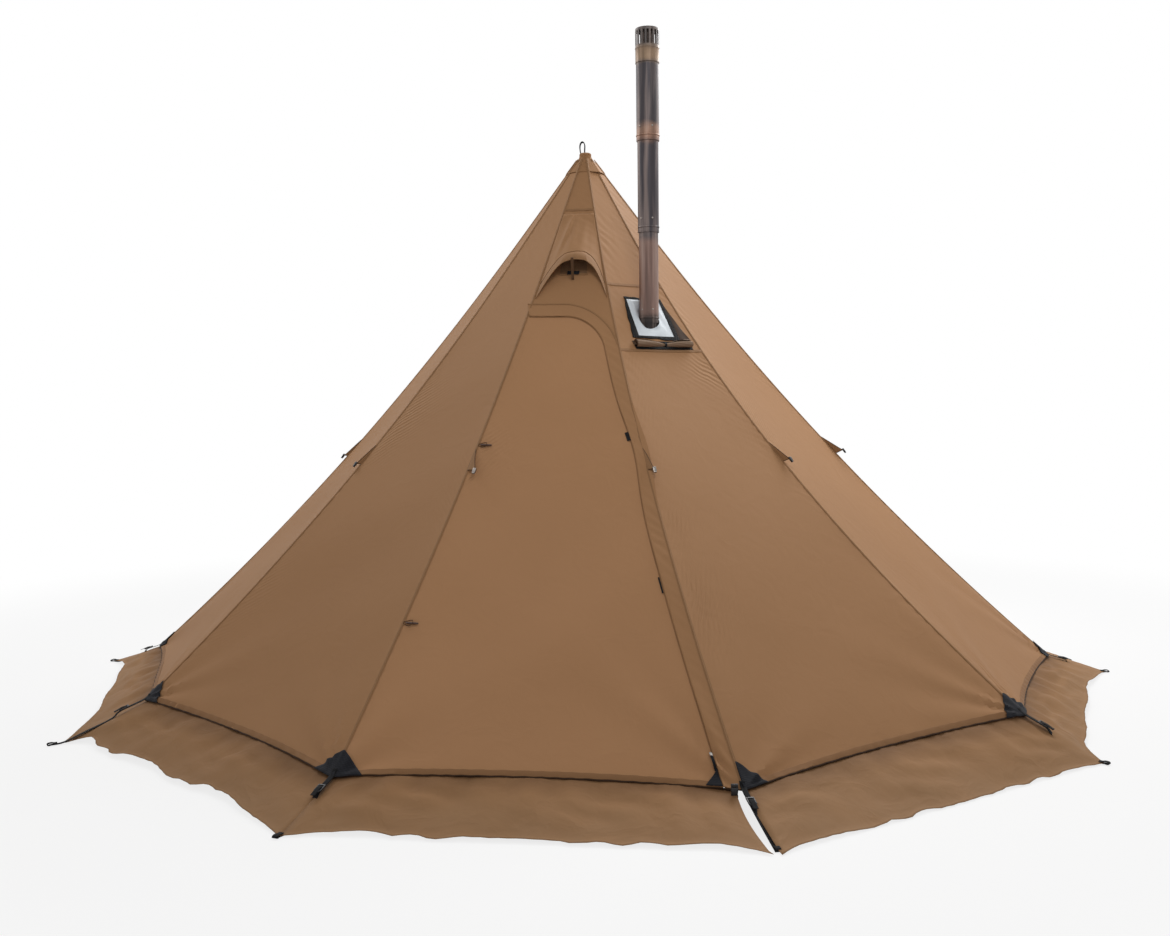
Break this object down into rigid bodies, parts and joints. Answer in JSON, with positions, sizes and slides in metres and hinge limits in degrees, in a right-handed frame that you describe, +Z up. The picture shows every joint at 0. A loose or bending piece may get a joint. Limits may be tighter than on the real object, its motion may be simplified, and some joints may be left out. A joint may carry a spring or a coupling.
{
  "type": "hot tent",
  "caption": "Pyramid pole tent with a swing-open front door, hooded vent, snow skirt, peg straps, and a steel stove flue rising through a heatproof jack.",
  "frame": {"origin": "on the ground under the centre pole", "axes": "+Z up, door facing -Y, +X to the right seen from the door"},
  "size_m": [5.174, 4.9284, 3.051],
  "materials": {
    "fly_cloth": "matte",
    "skirt_cloth": "matte",
    "netting": "matte",
    "heatproof_cloth": "satin",
    "black_binding": "matte",
    "webbing": "matte",
    "black_plastic": "satin",
    "flue_steel": "heat tinted",
    "tinted_steel": "heat tinted",
    "pole_metal": "satin"
  },
  "bodies": {
    "root": {"apex_cap": "fly_cloth", "corner_strap_01": "webbing", "corner_strap_02": "webbing", "corner_strap_03": "webbing", "corner_strap_04": "webbing", "corner_strap_05": "webbing", "corner_strap_06": "webbing", "corner_strap_07": "webbing", "corner_strap_08": "webbing", "corner_strap_09": "webbing", "corner_strap_10": "webbing", "fly_panel_01_front": "fly_cloth", "fly_panel_02_jack": "fly_cloth", "fly_panel_03": "fly_cloth", "fly_panel_04": "fly_cloth", "fly_panel_05": "fly_cloth", "fly_panel_06": "fly_cloth", "fly_panel_07": "fly_cloth", "fly_panel_08": "fly_cloth", "fly_panel_09": "fly_cloth", "fly_panel_10": "fly_cloth", "jack_frame": "black_binding", "jack_heat_panel": "heatproof_cloth", "pole_lower": "pole_metal", "skirt_left": "skirt_cloth", "skirt_right": "skirt_cloth", "storm_flap": "fly_cloth", "vent_hood": "fly_cloth", "vent_mesh": "netting"},
    "door": {"door_leaf": "fly_cloth", "skirt_front": "skirt_cloth"},
    "zip_slider": {"zip_slider": "black_plastic"},
    "vent_stay": {"vent_stay": "black_plastic"},
    "rain_flap": {"rain_flap_roll": "fly_cloth"},
    "flue_1": {"flue_section_1": "flue_steel"},
    "flue_2": {"flue_section_2": "flue_steel"},
    "flue_3": {"flue_section_3": "flue_steel"},
    "flue_4": {"flue_section_4": "flue_steel"},
    "arrestor": {"spark_arrestor": "tinted_steel"},
    "pole_top": {"pole_upper": "pole_metal"},
    "buckle_01": {"corner_buckle_01": "black_plastic"},
    "guy_01": {"guy_loop_01": "webbing"},
    "buckle_02": {"corner_buckle_02": "black_plastic"},
    "guy_02": {"guy_loop_02": "webbing"},
    "buckle_03": {"corner_buckle_03": "black_plastic"},
    "guy_03": {"guy_loop_03": "webbing"},
    "buckle_04": {"corner_buckle_04": "black_plastic"},
    "guy_04": {"guy_loop_04": "webbing"},
    "buckle_05": {"corner_buckle_05": "black_plastic"},
    "guy_05": {"guy_loop_05": "webbing"},
    "buckle_06": {"corner_buckle_06": "black_plastic"},
    "guy_06": {"guy_loop_06": "webbing"},
    "buckle_07": {"corner_buckle_07": "black_plastic"},
    "guy_07": {"guy_loop_07": "webbing"},
    "buckle_08": {"corner_buckle_08": "black_plastic"},
    "guy_08": {"guy_loop_08": "webbing"},
    "buckle_09": {"corner_buckle_09": "black_plastic"},
    "guy_09": {"guy_loop_09": "webbing"},
    "buckle_10": {"corner_buckle_10": "black_plastic"},
    "guy_10": {"guy_loop_10": "webbing"}
  },
  "joints": [
    {"name": "door_swing", "type": "hinge", "parent": "root", "child": "door", "pos_m": [-0.69339, -2.13367, 0.106], "axis": [-0.2091, -0.6607, -0.7209], "range_deg": [0, 150], "deforming": ["skirt_front"]},
    {"name": "door_zip", "type": "slide", "parent": "door", "child": "zip_slider", "axis": [-0.2563, 0.6888, 0.6781], "range_m": [0, 0.4]},
    {"name": "vent_stay_fold", "type": "hinge", "parent": "root", "child": "vent_stay", "pos_m": [-0.01825, -0.50111, 1.92666], "axis": [1, 0, 0], "range_deg": [0, 102]},
    {"name": "rain_flap_drop", "type": "hinge", "parent": "root", "child": "rain_flap", "pos_m": [0.40419, -0.57329, 1.59931], "axis": [0.7228, 0.6911, 0], "range_deg": [0, 80]},
    {"name": "flue_lift", "type": "slide", "parent": "root", "child": "flue_1", "axis": [0, 0, 1], "range_m": [0, 0.25]},
    {"name": "flue_joint_2", "type": "slide", "parent": "flue_1", "child": "flue_2", "axis": [0, 0, 1], "range_m": [0, 0.05]},
    {"name": "flue_joint_3", "type": "slide", "parent": "flue_2", "child": "flue_3", "axis": [0, 0, 1], "range_m": [0, 0.05]},
    {"name": "flue_joint_4", "type": "slide", "parent": "flue_3", "child": "flue_4", "axis": [0, 0, 1], "range_m": [0, 0.05]},
    {"name": "arrestor_lift", "type": "slide", "parent": "flue_4", "child": "arrestor", "axis": [0, 0, 1], "range_m": [0, 0.08]},
    {"name": "pole_adjust", "type": "slide", "parent": "root", "child": "pole_top", "axis": [0, 0, 1], "range_m": [-0.35, 0]},
    {"name": "buckle_tilt_01", "type": "hinge", "parent": "root", "child": "buckle_01", "pos_m": [0.71314, -2.19481, 0.0827], "axis": [-0.9511, -0.309, 0], "range_deg": [0, 35]},
    {"name": "buckle_tilt_02", "type": "hinge", "parent": "root", "child": "buckle_02", "pos_m": [1.83479, -1.33306, 0.11627], "axis": [-0.5878, -0.809, 0], "range_deg": [0, 35]},
    {"name": "buckle_tilt_03", "type": "hinge", "parent": "root", "child": "buckle_03", "pos_m": [2.31861, 0, 0.07264], "axis": [0, -1, 0], "range_deg": [0, 35]},
    {"name": "buckle_tilt_04", "type": "hinge", "parent": "root", "child": "buckle_04", "pos_m": [1.86262, 1.35328, 0.08773], "axis": [0.5878, -0.809, 0], "range_deg": [0, 35]},
    {"name": "buckle_tilt_05", "type": "hinge", "parent": "root", "child": "buckle_05", "pos_m": [0.71146, 2.18965, 0.08773], "axis": [0.9511, -0.309, 0], "range_deg": [0, 35]},
    {"name": "buckle_tilt_06", "type": "hinge", "parent": "root", "child": "buckle_06", "pos_m": [-0.71146, 2.18965, 0.08773], "axis": [0.9511, 0.309, 0], "range_deg": [0, 35]},
    {"name": "buckle_tilt_07", "type": "hinge", "parent": "root", "child": "buckle_07", "pos_m": [-1.86262, 1.35328, 0.08773], "axis": [0.5878, 0.809, 0], "range_deg": [0, 35]},
    {"name": "buckle_tilt_08", "type": "hinge", "parent": "root", "child": "buckle_08", "pos_m": [-2.33043, 0, 0.07932], "axis": [0, 1, 0], "range_deg": [0, 35]},
    {"name": "buckle_tilt_09", "type": "hinge", "parent": "root", "child": "buckle_09", "pos_m": [-1.79859, -1.30675, 0.11797], "axis": [-0.5878, 0.809, 0], "range_deg": [0, 35]},
    {"name": "buckle_tilt_10", "type": "hinge", "parent": "root", "child": "buckle_10", "pos_m": [-0.70978, -2.18448, 0.09276], "axis": [-0.9511, 0.309, 0], "range_deg": [0, 35]},
    {"name": "guy_swing_01", "type": "hinge", "parent": "root", "child": "guy_01", "pos_m": [0.32239, -1.10076, 1.1904], "axis": [-0.9511, -0.309, 0], "range_deg": [0, 90]},
    {"name": "guy_swing_02", "type": "hinge", "parent": "root", "child": "guy_02", "pos_m": [0.85833, -0.62361, 1.1904], "axis": [-0.5878, -0.809, 0], "range_deg": [0, 90]},
    {"name": "guy_swing_03", "type": "hinge", "parent": "root", "child": "guy_03", "pos_m": [1.14651, 0, 1.1904], "axis": [0, -1, 0], "range_deg": [0, 90]},
    {"name": "guy_swing_04", "type": "hinge", "parent": "root", "child": "guy_04", "pos_m": [0.92755, 0.6739, 1.1904], "axis": [0.5878, -0.809, 0], "range_deg": [0, 90]},
    {"name": "guy_swing_05", "type": "hinge", "parent": "root", "child": "guy_05", "pos_m": [0.35429, 1.0904, 1.1904], "axis": [0.9511, -0.309, 0], "range_deg": [0, 90]},
    {"name": "guy_swing_06", "type": "hinge", "parent": "root", "child": "guy_06", "pos_m": [-0.35429, 1.0904, 1.1904], "axis": [0.9511, 0.309, 0], "range_deg": [0, 90]},
    {"name": "guy_swing_07", "type": "hinge", "parent": "root", "child": "guy_07", "pos_m": [-0.92755, 0.6739, 1.1904], "axis": [0.5878, 0.809, 0], "range_deg": [0, 90]},
    {"name": "guy_swing_08", "type": "hinge", "parent": "root", "child": "guy_08", "pos_m": [-1.15797, 0, 1.1904], "axis": [0, 1, 0], "range_deg": [0, 90]},
    {"name": "guy_swing_09", "type": "hinge", "parent": "root", "child": "guy_09", "pos_m": [-0.90437, -0.65706, 1.19039], "axis": [-0.5878, 0.809, 0], "range_deg": [0, 90]},
    {"name": "guy_swing_10", "type": "hinge", "parent": "root", "child": "guy_10", "pos_m": [-0.36705, -1.08625, 1.1904], "axis": [-0.9511, 0.309, 0], "range_deg": [0, 60]}
  ]
}
